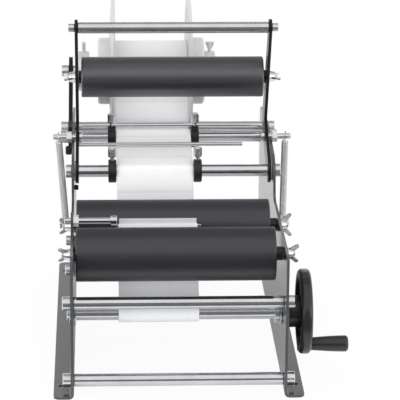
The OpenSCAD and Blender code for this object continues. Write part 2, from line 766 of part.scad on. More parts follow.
function turn_point(t, h, off) = t[0] + (t[2] * t[1] - off) * [sin(h), -cos(h)];

// Signed change of heading round a turn, in the sense of the turn
function swing(t, h0, h1) = let (d = t[2] * (h1 - h0)) t[2] * (d - 360 * floor(d / 360));

// One face of the web, at a distance to the left of its middle
function web_face(off) = let (n = len(turns) - 1) concat(
  [turn_point(turns[0], headings[0], off)],
  [for (i = [1:n - 1]) let (s = swing(turns[i], headings[i - 1], headings[i])) for (k = [0:arc_steps])
    turn_point(turns[i], headings[i - 1] + s * k / arc_steps, off)],
  [turn_point(turns[n], headings[n - 1], off)]);

module label_web() color("white") {
  one = web_face(web_t / 2);
  two = web_face(-web_t / 2);
  station(web_lo) linear_extrude(web_w) polygon(concat(one, [for (i = [len(two) - 1:-1:0]) two[i]]));
  station(web_lo + 1) translate([peel_tip[0] + peel_t / 2 + gap + web_t - eps, peel_tip[1] - 2])
    linear_extrude(web_w - 2) square([web_t, label_lead + 2 + peel_t / 2]);
}

// Label reel

module label_bracket() color([0.2, 0.2, 0.21]) station(-out_x - bracket_t) difference() {
  strap([web_rod, rear_rod, reel_axis], bracket_r, bracket_t);
  for (p = [web_rod, rear_rod, reel_axis]) translate([p[0], p[1], -eps])
    cylinder(d = m8 + 2 * fit, h = bracket_t + 2 * eps);
}

module label_shaft() color("silver") difference() {
  station(-out_x, reel_axis) bar(reel_shaft_d, out_x + right_holder_x + holder_w + reel_shaft_over);
  station(-out_x - eps, reel_axis) cylinder(d = m8, h = tap_depth);
}

module label_roll() color("white") station(web_lo, reel_axis) ring(roll_d, plug_d, web_w, edge_c / 2);

// Tapered disc, hub and plug; drawn outwards from the inner face of the disc
module reel_flange() rotate_extrude() {
  bore = reel_shaft_d / 2 + fit;
  polygon([[bore, -plug_len], [plug_d / 2, -plug_len], [plug_d / 2, 0], [disc_d / 2 - disc_round, 0],
    [disc_d / 2, disc_round], [disc_d / 2, disc_rim_t - disc_round], [disc_d / 2 - disc_round, disc_rim_t],
    [disc_hub_d / 2, disc_t], [disc_hub_d / 2, disc_t + hub_l - hub_round],
    [disc_hub_d / 2 - hub_round, disc_t + hub_l], [bore, disc_t + hub_l]]);
}

module left_reel_flange() color("whitesmoke") {
  mirror([1, 0, 0]) station(gap - web_lo, reel_axis) reel_flange();
  mirror([1, 0, 0]) station(gap - web_lo + disc_t + hub_l - eps, reel_axis)
    ring(reel_boss_d, reel_shaft_d + 2 * fit, boss_l);
}

module right_reel_flange() color("whitesmoke") station(web_hi + gap, reel_axis) reel_flange();

right_holder_x = web_hi + 2 * gap + disc_t + hub_l;
left_holder_x = web_lo - 2 * gap - disc_t - hub_l - boss_l - holder_w;

module holder(x) difference() {
  station(x, reel_axis) ring(holder_d, reel_shaft_d, holder_w, 1);
  translate([x + holder_w / 2, reel_axis[0] - plate_depth / 2, reel_axis[1]])
    cylinder(d = wing_screw_d, h = holder_d);
}

// Wing screw through the holder collar; turn sets the direction of its wings
module holder_screw(x, turn) translate([x + holder_w / 2, reel_axis[0] - plate_depth / 2, reel_axis[1]]) {
  translate([0, 0, reel_shaft_d / 2]) bar(wing_screw_d, (holder_d - reel_shaft_d) / 2 + wing_screw_proud);
  for (side = [0, 180]) rotate([0, 0, turn + side]) translate([0, wing_t / 2, holder_d / 2])
    rotate([90, 0, 0]) strap([screw_wing_root, screw_wing_tip], screw_wing_r, wing_t);
}

module left_holder_collar() color("lightgray") holder(left_holder_x);
module left_holder_screw() color("gainsboro") holder_screw(left_holder_x, screw_turn[0]);
module right_holder_collar() color("lightgray") holder(right_holder_x);
module right_holder_screw() color("gainsboro") holder_screw(right_holder_x, screw_turn[1]);

// Guide collars with knurled screws

module guide(x, p) difference() {
  station(x, p) ring(guide_d, rod_d + 2 * fit, guide_w, 1);
  translate([x + guide_w / 2, p[0] - plate_depth / 2, p[1]]) cylinder(d = thumb_neck[0], h = guide_d);
}

module thumb(x, p) translate([x + guide_w / 2, p[0] - plate_depth / 2, p[1]]) {
  translate([0, 0, rod_d / 2 + fit]) cylinder(d = thumb_neck[0], h = guide_d / 2 + thumb_neck[1] - rod_d / 2);
  translate([0, 0, guide_d / 2 + thumb_neck[1] - eps]) difference() {
    bar(thumb_d, thumb_l);
    for (k = [1:knurl_n]) rotate([0, 0, 360 * k / knurl_n]) translate([thumb_d / 2 + knurl_d / 4, 0, -eps])
      cylinder(d = knurl_d, h = thumb_l + 2 * eps);
  }
}

module pivot_guide_left() color("black") guide(guide_side[0], pivot);
module pivot_guide_right() color("black") guide(guide_side[1], pivot);
module rod_guide_left() color("black") guide(guide_side[0], web_rod);
module rod_guide_right() color("black") guide(guide_side[1], web_rod);
module pivot_thumb_left() color("silver") thumb(guide_side[0], pivot);
module pivot_thumb_right() color("silver") thumb(guide_side[1], pivot);
module rod_thumb_left() color("silver") thumb(guide_side[0], web_rod);
module rod_thumb_right() color("silver") thumb(guide_side[1], web_rod);

stop_head_x = -in_x + stop_reach - stop_d;
module bottle_stop() color("silver") station(stop_head_x, stop_pos)
  cap_screw(stop_d, stop_tail + stop_head_x);

left_side_plate();
right_side_plate();
front_tie_rod();
upper_tie_rod();
pivot_rod();
web_guide_rod();
rear_guide_rod();
lower_guide_rods();
frame_screws();
peel_plate();
stop_pin();
shaft_bushes();
front_sleeve();
front_core();
front_axle();
front_spacers();
front_wing_nuts();
rear_sleeve();
rear_core();
rear_axle();
rear_spacers();
rear_wing_nuts();
top_sleeve();
top_core();
top_axle();
top_spacers();
top_wing_nuts();
left_arm();
right_arm();
arm_tie_rod();
arm_screws();
arm_washers();
web_press_rod();
left_spring();
right_spring();
take_up_shaft();
shaft_collars();
handwheel();
handle_spindle();
handle_grip();
wound_liner();
label_web();
label_bracket();
label_shaft();
label_roll();
left_reel_flange();
right_reel_flange();
left_holder_collar();
left_holder_screw();
right_holder_collar();
right_holder_screw();
pivot_guide_left();
pivot_guide_right();
rod_guide_left();
rod_guide_right();
pivot_thumb_left();
pivot_thumb_right();
rod_thumb_left();
rod_thumb_right();
bottle_stop();
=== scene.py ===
"""Dresses the hand-cranked bottle labelling machine and sets it in a plain pale studio.

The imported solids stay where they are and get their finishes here. The paper web, the paper
windings and the tension springs are modelled in this file and stand for their plain solids.
The machine's sizes are in millimetres, and a place on it is a [depth, height] pair, counted from
the plates' front edge and from the floor. The studio's sizes are in metres, as Blender's are.
"""

from __future__ import annotations

import logging
import math
from abc import ABC, abstractmethod
from dataclasses import dataclass, field, replace
from enum import Enum
from typing import Dict, List, Sequence, Tuple

import bpy
from mathutils import Matrix, Vector

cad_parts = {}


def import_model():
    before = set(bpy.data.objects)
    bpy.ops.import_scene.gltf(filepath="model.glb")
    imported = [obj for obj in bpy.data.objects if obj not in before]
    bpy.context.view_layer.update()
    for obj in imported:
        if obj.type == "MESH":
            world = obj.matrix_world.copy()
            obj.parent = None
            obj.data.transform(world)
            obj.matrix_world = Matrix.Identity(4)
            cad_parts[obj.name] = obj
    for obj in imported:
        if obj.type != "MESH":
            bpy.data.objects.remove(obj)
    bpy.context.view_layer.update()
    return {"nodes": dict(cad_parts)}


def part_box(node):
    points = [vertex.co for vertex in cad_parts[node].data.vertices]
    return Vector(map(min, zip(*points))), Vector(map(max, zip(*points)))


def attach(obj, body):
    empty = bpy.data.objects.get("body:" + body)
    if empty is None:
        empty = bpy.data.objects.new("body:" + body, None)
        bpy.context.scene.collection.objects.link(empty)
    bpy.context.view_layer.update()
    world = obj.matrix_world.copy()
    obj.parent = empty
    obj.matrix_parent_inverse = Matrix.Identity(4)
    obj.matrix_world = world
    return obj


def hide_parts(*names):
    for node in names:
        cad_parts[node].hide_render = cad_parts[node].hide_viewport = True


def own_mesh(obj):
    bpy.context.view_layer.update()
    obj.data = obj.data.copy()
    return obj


LOG = logging.getLogger("labeller")
MM = 0.001
# Depth of the part's origin behind the plates' front edge.
MID_DEPTH = 187.5

Colour = Tuple[float, float, float]
Point = Tuple[float, float, float]
Place = Tuple[float, float]
# Places along the web, each with the heading there in degrees.
Course = List[Tuple[Place, float]]

WHITE: Colour = (1.0, 1.0, 1.0)


def at(x: float, place: Sequence[float]) -> Vector:
    """Turns a station across the machine and a [depth, height] place into a point.

    Args:
        x: Station across the machine in millimetres.
        place: Depth from the plates' front edge and height above the floor, in millimetres.

    Returns:
        The point in metres, in the frame of the part.
    """
    return Vector((x, place[0] - MID_DEPTH, place[1])) * MM


def axis_of(node: str) -> Place:
    """Finds the axis of a rod or roll that lies across the machine.

    Args:
        node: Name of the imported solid.

    Returns:
        The [depth, height] of the solid's middle in millimetres.
    """
    low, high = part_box(node)
    middle = (low + high) / 2 / MM
    return middle.y + MID_DEPTH, middle.z


def part_way(start: Place, end: Place, share: float) -> Place:
    """Finds the place at a share of the way between two others.

    Args:
        start: The place at share 0.
        end: The place at share 1.
        share: How far along, from 0 to 1.

    Returns:
        The [depth, height] place.
    """
    return start[0] + (end[0] - start[0]) * share, start[1] + (end[1] - start[1]) * share


def linear(level: int) -> float:
    """Turns one display level of 0 to 255 into linear light by the sRGB curve.

    Args:
        level: The display level.

    Returns:
        The linear value from 0 to 1.
    """
    v = level / 255.0
    return v / 12.92 if v <= 0.04045 else ((v + 0.055) / 1.055) ** 2.4


def shade(r: int, g: int, b: int) -> Colour:
    """The linear colour of a display colour of 0 to 255."""
    return linear(r), linear(g), linear(b)


def opaque(colour: Colour) -> Tuple[float, float, float, float]:
    """The colour with the full alpha that a colour socket takes."""
    return (*colour, 1.0)


def only(obj: bpy.types.Object) -> None:
    """Makes one object the only selected and active one.

    Args:
        obj: The object.
    """
    bpy.ops.object.select_all(action="DESELECT")
    obj.select_set(True)
    bpy.context.view_layer.objects.active = obj


class Grain(Enum):
    """The fine structure of a surface."""

    POWDER = "powder coat"
    TURNED = "turned on a lathe"
    DRAWN = "drawn or brushed"
    PLATED = "plated"
    RUBBER = "ground rubber"
    MOULDED = "moulded"
    PAPER = "coated paper"
    LAYERS = "edges of wound paper"


EVEN: Point = (1.0, 1.0, 1.0)
# How a grain's pattern is drawn out along X, Y and Z, where it isn't even.
GRAIN_STRETCH: Dict[Grain, Point] = {
    Grain.TURNED: (14.0, 0.2, 0.2),
    Grain.DRAWN: (0.12, 6.0, 6.0),
}
# The noise values over which colour and roughness wander.
WANDER_FROM, WANDER_TO = 0.3, 0.7
# Scales of that wandering, as shares of the relief's scale.
TONE_SCALE, ROUGH_SCALE = 0.1, 0.22
# Finer layers in the noise of the wandering and of the relief.
WANDER_DETAIL, RELIEF_DETAIL = 4.0, 3.0
# Height of the fine relief in metres.
RELIEF_HEIGHT = 0.0006
# How far the rings of wound paper run out of true.
RING_WOBBLE = 0.6
LEAST_ROUGH = 0.02
COAT_ROUGH = 0.12


@dataclass(frozen=True)
class Finish:
    """One surface finish, made once as a node material.

    Attributes:
        name: Name of the finish.
        colour: Linear base colour.
        grain: Fine structure.
        metal: Metallic share.
        rough: Mean roughness.
        spread: How far the roughness wanders.
        tone: How far the colour wanders, as a share.
        bump: Strength of the fine relief.
        scale: Scale of the pattern per metre.
        coat: Clear coat weight.
        gloss: Strength of the mirror part on paint and plastic.
        index: Refractive index.
        centre: Point round which the pattern lies, in metres.
    """

    name: str
    colour: Colour
    grain: Grain
    metal: float = 0.0
    rough: float = 0.4
    spread: float = 0.08
    tone: float = 0.06
    bump: float = 0.06
    scale: float = 260.0
    coat: float = 0.0
    gloss: float = 0.5
    index: float = 1.5
    centre: Point = (0.0, 0.0, 0.0)

    def make(self) -> bpy.types.Material:
        """Builds the material, or hands back the one already built.

        Returns:
            The material of this finish.
        """
        found = bpy.data.materials.get(self.name)
        if found is not None:
            return found
        mat = bpy.data.materials.new(self.name)
        mat.use_nodes = True
        mat.diffuse_color = opaque(self.colour)
        tree = mat.node_tree
        shader = tree.nodes["Principled BSDF"]
        shader.inputs["Metallic"].default_value = self.metal
        shader.inputs["Specular IOR Level"].default_value = self.gloss
        shader.inputs["IOR"].default_value = self.index
        shader.inputs["Coat Weight"].default_value = self.coat
        shader.inputs["Coat Roughness"].default_value = COAT_ROUGH
        coords = self._coords(tree)
        self._tones(tree, shader, coords)
        if self.bump:
            self._relief(tree, shader, coords)
        return mat

    def _coords(self, tree: bpy.types.NodeTree) -> bpy.types.NodeSocket:
        """Object coordinates, moved to the finish's own centre.

        Args:
            tree: The material's node tree.

        Returns:
            The vector socket.
        """
        source = tree.nodes.new("ShaderNodeTexCoord")
        shift = tree.nodes.new("ShaderNodeMapping")
        shift.inputs["Location"].default_value = tuple(-c for c in self.centre)
        tree.links.new(source.outputs["Object"], shift.inputs["Vector"])
        return shift.outputs["Vector"]

    @staticmethod
    def _noise(tree: bpy.types.NodeTree, coords: bpy.types.NodeSocket, scale: float,
               detail: float, stretch: Point = EVEN) -> bpy.types.NodeSocket:
        """A noise pattern, stretched along the part's axes.

        Args:
            tree: The material's node tree.
            coords: The vector socket to read.
            scale: Scale per metre.
            detail: Number of finer layers.
            stretch: Factors along X, Y and Z.

        Returns:
            The value socket of the noise.
        """
        pull = tree.nodes.new("ShaderNodeMapping")
        pull.inputs["Scale"].default_value = stretch
        noise = tree.nodes.new("ShaderNodeTexNoise")
        noise.inputs["Scale"].default_value = scale
        noise.inputs["Detail"].default_value = detail
        tree.links.new(coords, pull.inputs["Vector"])
        tree.links.new(pull.outputs["Vector"], noise.inputs["Vector"])
        return noise.outputs["Fac"]

    def _rings(self, tree: bpy.types.NodeTree,
               coords: bpy.types.NodeSocket) -> bpy.types.NodeSocket:
        """Rings round the axis of a winding.

        Args:
            tree: The material's node tree.
            coords: The vector socket to read.

        Returns:
            The value socket of the rings.
        """
        wave = tree.nodes.new("ShaderNodeTexWave")
        wave.wave_type = "RINGS"
        wave.rings_direction = "X"
        wave.inputs["Scale"].default_value = self.scale
        wave.inputs["Distortion"].default_value = RING_WOBBLE
        tree.links.new(coords, wave.inputs["Vector"])
        return wave.outputs["Fac"]

    def _tones(self, tree: bpy.types.NodeTree, shader: bpy.types.Node,
               coords: bpy.types.NodeSocket) -> None:
        """Lets the colour and the roughness wander a little over the surface.

        Args:
            tree: The material's node tree.
            shader: The surface shader.
            coords: The vector socket to read.
        """
        ramp = tree.nodes.new("ShaderNodeValToRGB")
        low, high = ramp.color_ramp.elements
        low.position, high.position = WANDER_FROM, WANDER_TO
        low.color = opaque(tuple(c * (1.0 - self.tone) for c in self.colour))
        high.color = opaque(tuple(min(1.0, c * (1.0 + self.tone)) for c in self.colour))
        clouds = self._noise(tree, coords, self.scale * TONE_SCALE, WANDER_DETAIL)
        tree.links.new(clouds, ramp.inputs["Fac"])
        tree.links.new(ramp.outputs["Color"], shader.inputs["Base Color"])
        span = tree.nodes.new("ShaderNodeMapRange")
        span.inputs["From Min"].default_value = WANDER_FROM
        span.inputs["From Max"].default_value = WANDER_TO
        span.inputs["To Min"].default_value = max(LEAST_ROUGH, self.rough - self.spread)
        span.inputs["To Max"].default_value = min(1.0, self.rough + self.spread)
        patches = self._noise(tree, coords, self.scale * ROUGH_SCALE, WANDER_DETAIL)
        tree.links.new(patches, span.inputs["Value"])
        tree.links.new(span.outputs["Result"], shader.inputs["Roughness"])

    def _relief(self, tree: bpy.types.NodeTree, shader: bpy.types.Node,
                coords: bpy.types.NodeSocket) -> None:
        """Gives the surface its fine relief.

        Args:
            tree: The material's node tree.
            shader: The surface shader.
            coords: The vector socket to read.
        """
        if self.grain is Grain.LAYERS:
            height = self._rings(tree, coords)
        else:
            stretch = GRAIN_STRETCH.get(self.grain, EVEN)
            height = self._noise(tree, coords, self.scale, RELIEF_DETAIL, stretch)
        relief = tree.nodes.new("ShaderNodeBump")
        relief.inputs["Strength"].default_value = self.bump
        relief.inputs["Distance"].default_value = RELIEF_HEIGHT
        tree.links.new(height, relief.inputs["Height"])
        tree.links.new(relief.outputs["Normal"], shader.inputs["Normal"])


PLATE = Finish("plate_grey_coat", shade(72, 73, 76), Grain.POWDER, rough=0.2, spread=0.03,
               bump=0.03, scale=1500.0, tone=0.05)
ARM_BLACK = Finish("arm_black_coat", shade(22, 22, 24), Grain.POWDER, rough=0.3, spread=0.04,
                   bump=0.03, scale=1400.0, gloss=0.3)
CHROME = Finish("rod_chrome", (0.74, 0.75, 0.77), Grain.TURNED, metal=1.0, rough=0.16,
                spread=0.01, bump=0.0, scale=420.0)
SCREW = Finish("screw_zinc", (0.80, 0.81, 0.82), Grain.PLATED, metal=1.0, rough=0.24, bump=0.05,
               scale=900.0)
NICKEL = Finish("wing_nickel", (0.78, 0.78, 0.77), Grain.PLATED, metal=1.0, rough=0.27, bump=0.10,
                scale=700.0)
RUBBER = Finish("roller_rubber", shade(13, 14, 28), Grain.RUBBER, rough=0.42, spread=0.04,
                bump=0.07, scale=1300.0, tone=0.08, gloss=1.0)
# The top sleeve is the same rubber as the other sleeves. This copy is darker and mirrors more: a
# painted highlight and painted shade for how the light falls on the top roller.
TOP_RUBBER_PAINTED_HIGHLIGHT = Finish("top_roller_rubber_painted_highlight", shade(10, 11, 26), Grain.RUBBER, rough=0.38, spread=0.04,
                    bump=0.06, scale=1300.0, tone=0.08, gloss=1.0, index=1.75)
CORE = Finish("roller_core_alloy", (0.70, 0.71, 0.72), Grain.TURNED, metal=1.0, rough=0.34,
              scale=500.0)
PEEL = Finish("peel_brushed_steel", (0.60, 0.61, 0.62), Grain.DRAWN, metal=1.0, rough=0.32,
              scale=600.0)
NYLON = Finish("washer_nylon", shade(225, 225, 220), Grain.MOULDED, rough=0.45)
WIRE = Finish("spring_wire", (0.76, 0.76, 0.76), Grain.DRAWN, metal=1.0, rough=0.34, scale=900.0)
BAKELITE = Finish("wheel_bakelite", shade(30, 30, 33), Grain.MOULDED, rough=0.34, spread=0.06,
                  bump=0.05, scale=500.0, coat=0.25)
PAPER = Finish("label_paper", shade(240, 240, 241), Grain.PAPER, rough=0.55, bump=0.04,
               tone=0.012, scale=1800.0)
LINER = Finish("liner_paper", shade(231, 232, 234), Grain.PAPER, rough=0.36, bump=0.04,
               tone=0.015, scale=1500.0)
ROLL_LAYERS = Finish("roll_layers", shade(228, 228, 229), Grain.LAYERS, rough=0.6, bump=0.35,
                     tone=0.02, scale=260.0)
LINER_LAYERS = Finish("liner_layers", shade(228, 229, 231), Grain.LAYERS, rough=0.45, bump=0.3,
                      tone=0.02, scale=300.0)
DISC = Finish("disc_white_plastic", shade(206, 206, 207), Grain.MOULDED, rough=0.38, bump=0.04,
              tone=0.02, scale=700.0)
HOLDER = Finish("holder_satin_alloy", (0.66, 0.67, 0.68), Grain.TURNED, metal=0.4, rough=0.36,
                scale=450.0)
# Black plastic of the guides. On the spacers beside the roller ends the same black is painted shade
# for the dark gaps there.
GUIDE_AND_GAP_SHADE = Finish("guide_black_plastic_and_gap_shade", shade(26, 26, 28), Grain.MOULDED, rough=0.4, bump=0.1,
               scale=900.0)
STOP = Finish("stop_rubber", shade(24, 24, 25), Grain.RUBBER, rough=0.55, bump=0.12, scale=1100.0)

NODE_FINISHES: Dict[Finish, Tuple[str, ...]] = {
    PLATE: ("left_side_plate", "right_side_plate"),
    ARM_BLACK: ("left_arm", "right_arm", "label_bracket"),
    CHROME: ("front_tie_rod", "upper_tie_rod", "pivot_rod", "web_guide_rod", "rear_guide_rod",
             "lower_guide_rods", "arm_tie_rod", "web_press_rod", "take_up_shaft", "label_shaft",
             "front_axle", "rear_axle", "top_axle", "bottle_stop"),
    SCREW: ("frame_screws", "arm_screws", "handle_spindle", "shaft_collars", "shaft_bushes",
            "pivot_thumb_left", "pivot_thumb_right", "rod_thumb_left", "rod_thumb_right"),
    NICKEL: ("front_wing_nuts", "rear_wing_nuts", "top_wing_nuts"),
    RUBBER: ("front_sleeve", "rear_sleeve"),
    TOP_RUBBER_PAINTED_HIGHLIGHT: ("top_sleeve",),
    CORE: ("front_core", "rear_core", "top_core"),
    PEEL: ("peel_plate",),
    NYLON: ("arm_washers",),
    BAKELITE: ("handwheel", "handle_grip"),
    DISC: ("left_reel_flange", "right_reel_flange"),
    HOLDER: ("left_holder_collar", "right_holder_collar", "left_holder_screw",
             "right_holder_screw"),
    # The spacers take this black as painted shade for the dark gaps beside the roller ends.
    GUIDE_AND_GAP_SHADE: ("pivot_guide_left", "pivot_guide_right", "rod_guide_left", "rod_guide_right",
            "front_spacers", "rear_spacers", "top_spacers"),
    STOP: ("stop_pin",),
}


class Assembly(ABC):
    """A sub-assembly of the machine."""

    @abstractmethod
    def build(self) -> List[str]:
        """Makes and dresses the pieces.

        Returns:
            The names of the pieces.
        """


@dataclass
class Solids(Assembly):
    """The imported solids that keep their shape.

    Attributes:
        nodes: Node name to object.
    """

    nodes: Dict[str, bpy.types.Object]

    def build(self) -> List[str]:
        """Gives every kept solid its finish.

        Returns:
            The names of the solids.
        """
        dressed: List[str] = []
        for finish, names in NODE_FINISHES.items():
            for name in names:
                mesh = self.nodes[name].data
                mesh.materials.clear()
                mesh.materials.append(finish.make())
                dressed.append(name)
        return dressed


@dataclass(frozen=True)
class Turn:
    """One turn of the paper web round a rod.

    Attributes:
        centre: [depth, height] of the axis.
        radius: Radius of the web's middle there.
        sense: +1 where the web runs anticlockwise seen from the crank side, else -1.
    """

    centre: Place
    radius: float
    sense: int

    def touch(self, heading: float) -> Place:
        """Where the web touches the turn.

        Args:
            heading: Direction of travel in degrees.

        Returns:
            The [depth, height] place.
        """
        reach = self.sense * self.radius
        h = math.radians(heading)
        return self.centre[0] + reach * math.sin(h), self.centre[1] - reach * math.cos(h)

    def heading_to(self, other: Turn) -> float:
        """Direction of the straight run from this turn to the next.

        Args:
            other: The turn that the web reaches.

        Returns:
            The direction in degrees.
        """
        dy, dz = other.centre[0] - self.centre[0], other.centre[1] - self.centre[1]
        rise = other.sense * other.radius - self.sense * self.radius
        lean = math.asin(rise / math.hypot(dy, dz))
        return math.degrees(math.atan2(dz, dy) - lean)


@dataclass(frozen=True)
class Spot:
    """A point on the middle of the web.

    Attributes:
        place: [depth, height].
        heading: Direction of travel in degrees.
        run: Distance from the roll along the web.
    """

    place: Place
    heading: float
    run: float


# Outer and inner radius of the label roll and of the liner wound on the take-up shaft.
ROLL_OUTER, ROLL_INNER = 32.0, 19.0
WOUND_OUTER, WOUND_INNER = 9.0, 7.0


@dataclass
class PaperWeb(Assembly):
    """The liner with its labels, from the roll over the rods and the peel plate to the take-up.

    Attributes:
        width: Width of the liner.
        middle: Middle of the web across the machine.
        thick: Thickness of the liner.
        stand_off: Distance of the web's middle from a rod, and half of it at the take-up.
        rod: Radius of the upper rods.
        low_rod: Radius of the lower guide rods.
        low_rods: Places of the lower guide rods in order of travel.
        tip: Place of the peel plate's rounded tip.
        tip_radius: Radius of that tip.
        label_width: Width of a label.
        label_pitch: Distance from label to label.
        label_gap: Bare liner between two labels.
        label_thick: Thickness of a label.
        label_proud: How far a label's middle stands outside the liner's.
        lead: How far the first label stands above the peel plate.
        lead_thick: Thickness of the first label.
        lead_proud: How far the first label's middle stands outside the liner's.
        lead_start: Distance before the tip at which the first label goes straight on.
        lead_steps: Steps of its straight end.
        least_run: Shortest bare run between the roll and the last label.
        arc_steps: Steps of the web round a rod.
        end_steps: Steps of the web's end round the take-up.
        end_angle: Angle of one such step in degrees.
        spacing: Longest step along a straight run.
        columns: Points across a strip.
        smooth: Angle in degrees up to which faces are shaded as one.
        spots: The web's middle line.
        tip_run: Distance from the roll to where the turn at the tip begins.
    """

    width: float = 75.0
    middle: float = -18.0
    thick: float = 0.14
    stand_off: float = 0.6
    rod: float = 6.0
    low_rod: float = 5.0
    low_rods: Tuple[Place, Place] = ((158.0, 101.7), (96.0, 93.2))
    tip: Place = (87.75, 140.25)
    tip_radius: float = 0.75
    label_width: float = 73.0
    label_pitch: float = 45.0
    label_gap: float = 2.4
    label_thick: float = 0.14
    label_proud: float = 0.2
    lead: float = 6.4
    lead_thick: float = 0.16
    lead_proud: float = 0.22
    lead_start: float = 0.5
    lead_steps: int = 4
    least_run: float = 4.0
    arc_steps: int = 10
    end_steps: int = 4
    end_angle: float = 20.0
    spacing: float = 4.0
    columns: int = 9
    smooth: float = 40.0
    spots: List[Spot] = field(default_factory=list)
    tip_run: float = 0.0

    def turns(self) -> List[Turn]:
        """Lists the turns in order of travel, from the roll to the take-up.

        Returns:
            The turns.
        """
        rod, low_rod = self.rod + self.stand_off, self.low_rod + self.stand_off
        return [
            Turn(axis_of("label_roll"), ROLL_OUTER + self.stand_off, 1),
            Turn(axis_of("rear_guide_rod"), rod, -1),
            Turn(axis_of("web_guide_rod"), rod, 1),
            Turn(axis_of("pivot_rod"), rod, 1),
            Turn(self.low_rods[0], low_rod, -1),
            Turn(self.low_rods[1], low_rod, -1),
            Turn(self.tip, self.tip_radius + self.stand_off, 1),
            Turn(axis_of("take_up_shaft"), WOUND_OUTER + self.stand_off / 2, 1),
        ]

    def corners(self) -> Tuple[Course, int]:
        """Works out the points that the web's middle line needs, with none on the straight runs.

        Returns:
            The points with their headings, and the number of the first one at the tip, which is
            the last turn before the take-up.
        """
        turns = self.turns()
        headings = [a.heading_to(b) for a, b in zip(turns, turns[1:])]
        course: Course = [(turns[0].touch(headings[0]), headings[0])]
        tip = 0
        for turn, before, after in zip(turns[1:-1], headings, headings[1:]):
            tip = len(course)
            swing = turn.sense * ((turn.sense * (after - before)) % 360.0)
            for k in range(self.arc_steps + 1):
                angle = before + swing * k / self.arc_steps
                course.append((turn.touch(angle), angle))
        for k in range(self.end_steps + 1):
            angle = headings[-1] + self.end_angle * k
            course.append((turns[-1].touch(angle), angle))
        return course, tip

    def trace(self) -> None:
        """Works out the web's middle line in short steps."""
        course, tip = self.corners()
        run = 0.0
        self.spots = [Spot(*course[0], run)]
        for n, ((p, _), (q, angle)) in enumerate(zip(course, course[1:]), start=1):
            parts = max(1, int(math.dist(p, q) / self.spacing))
            for k in range(1, parts + 1):
                share = k / parts
                self.spots.append(Spot(part_way(p, q, share), angle, run + math.dist(p, q) * share))
            run += math.dist(p, q)
            if n == tip:
                self.tip_run = run

    def between(self, start: float, end: float) -> Course:
        """The stretch of the web between two distances.

        Args:
            start: Distance from the roll where it begins.
            end: Distance where it ends.

        Returns:
            Places with their headings.
        """
        course: Course = []
        for a, b in zip(self.spots, self.spots[1:]):
            for edge in (start, end):
                if a.run < edge <= b.run:
                    share = (edge - a.run) / (b.run - a.run)
                    course.append((part_way(a.place, b.place, share), b.heading))
            if start < b.run < end:
                course.append((b.place, b.heading))
        return course

    def strip(self, name: str, course: Course, width: float, proud: float, thick: float,
              finish: Finish) -> bpy.types.Object:
        """Makes a paper strip along the web.

        Args:
            name: Name of the piece.
            course: Places with the heading at each.
            width: Width of the strip.
            proud: How far it stands outside the web's middle.
            thick: Paper thickness.
            finish: The paper's finish.

        Returns:
            The new piece.
        """
        points: List[Vector] = []
        for place, heading in course:
            h = math.radians(heading)
            y, z = place[0] + proud * math.sin(h), place[1] - proud * math.cos(h)
            for c in range(self.columns):
                points.append(at(self.middle + width * (c / (self.columns - 1) - 0.5), (y, z)))
        faces: List[Tuple[int, int, int, int]] = []
        for row in range(len(course) - 1):
            for c in range(self.columns - 1):
                near = row * self.columns + c
                far = near + self.columns
                faces.append((near, near + 1, far + 1, far))
        mesh = bpy.data.meshes.new(name)
        mesh.from_pydata(points, [], faces)
        piece = bpy.data.objects.new(name, mesh)
        bpy.context.scene.collection.objects.link(piece)
        mesh.materials.append(finish.make())
        only(piece)
        wall = piece.modifiers.new("paper", "SOLIDIFY")
        wall.thickness = thick * MM
        wall.offset = 0.0
        bpy.ops.object.modifier_apply(modifier=wall.name)
        bpy.ops.object.shade_smooth_by_angle(angle=math.radians(self.smooth))
        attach(piece, "frame")
        return piece

    def leading_label(self) -> bpy.types.Object:
        """Makes the first label, which goes straight on where the liner turns at the tip.

        Returns:
            The new piece.
        """
        length = self.label_pitch - self.label_gap
        course = self.between(self.tip_run - length + self.lead, self.tip_run - self.lead_start)
        place, heading = course[-1]
        h = math.radians(heading)
        for k in range(1, self.lead_steps + 1):
            u = (self.lead + self.lead_start) * k / self.lead_steps
            course.append(((place[0] + u * math.cos(h), place[1] + u * math.sin(h)), heading))
        return self.strip("leading_label", course, self.label_width, self.lead_proud,
                          self.lead_thick, PAPER)

    def following_labels(self) -> List[bpy.types.Object]:
        """Makes the labels that still lie on the liner, from the tip back to the roll.

        Returns:
            The new pieces.
        """
        labels: List[bpy.types.Object] = []
        length = self.label_pitch - self.label_gap
        end = self.tip_run + self.lead - self.label_pitch
        while end - length > self.least_run:
            labels.append(self.strip(f"label_{len(labels) + 1}", self.between(end - length, end),
                                     self.label_width, self.label_proud, self.label_thick, PAPER))
            end -= self.label_pitch
        return labels

    def build(self) -> List[str]:
        """Makes the liner, the first label as it leaves the peel plate and the labels behind it.

        Returns:
            The names of the pieces.
        """
        self.trace()
        liner = self.strip("paper_liner", [(s.place, s.heading) for s in self.spots], self.width,
                           0.0, self.thick, LINER)
        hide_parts("label_web")
        labels = [self.leading_label(), *self.following_labels()]
        return [liner.name, *(label.name for label in labels)]


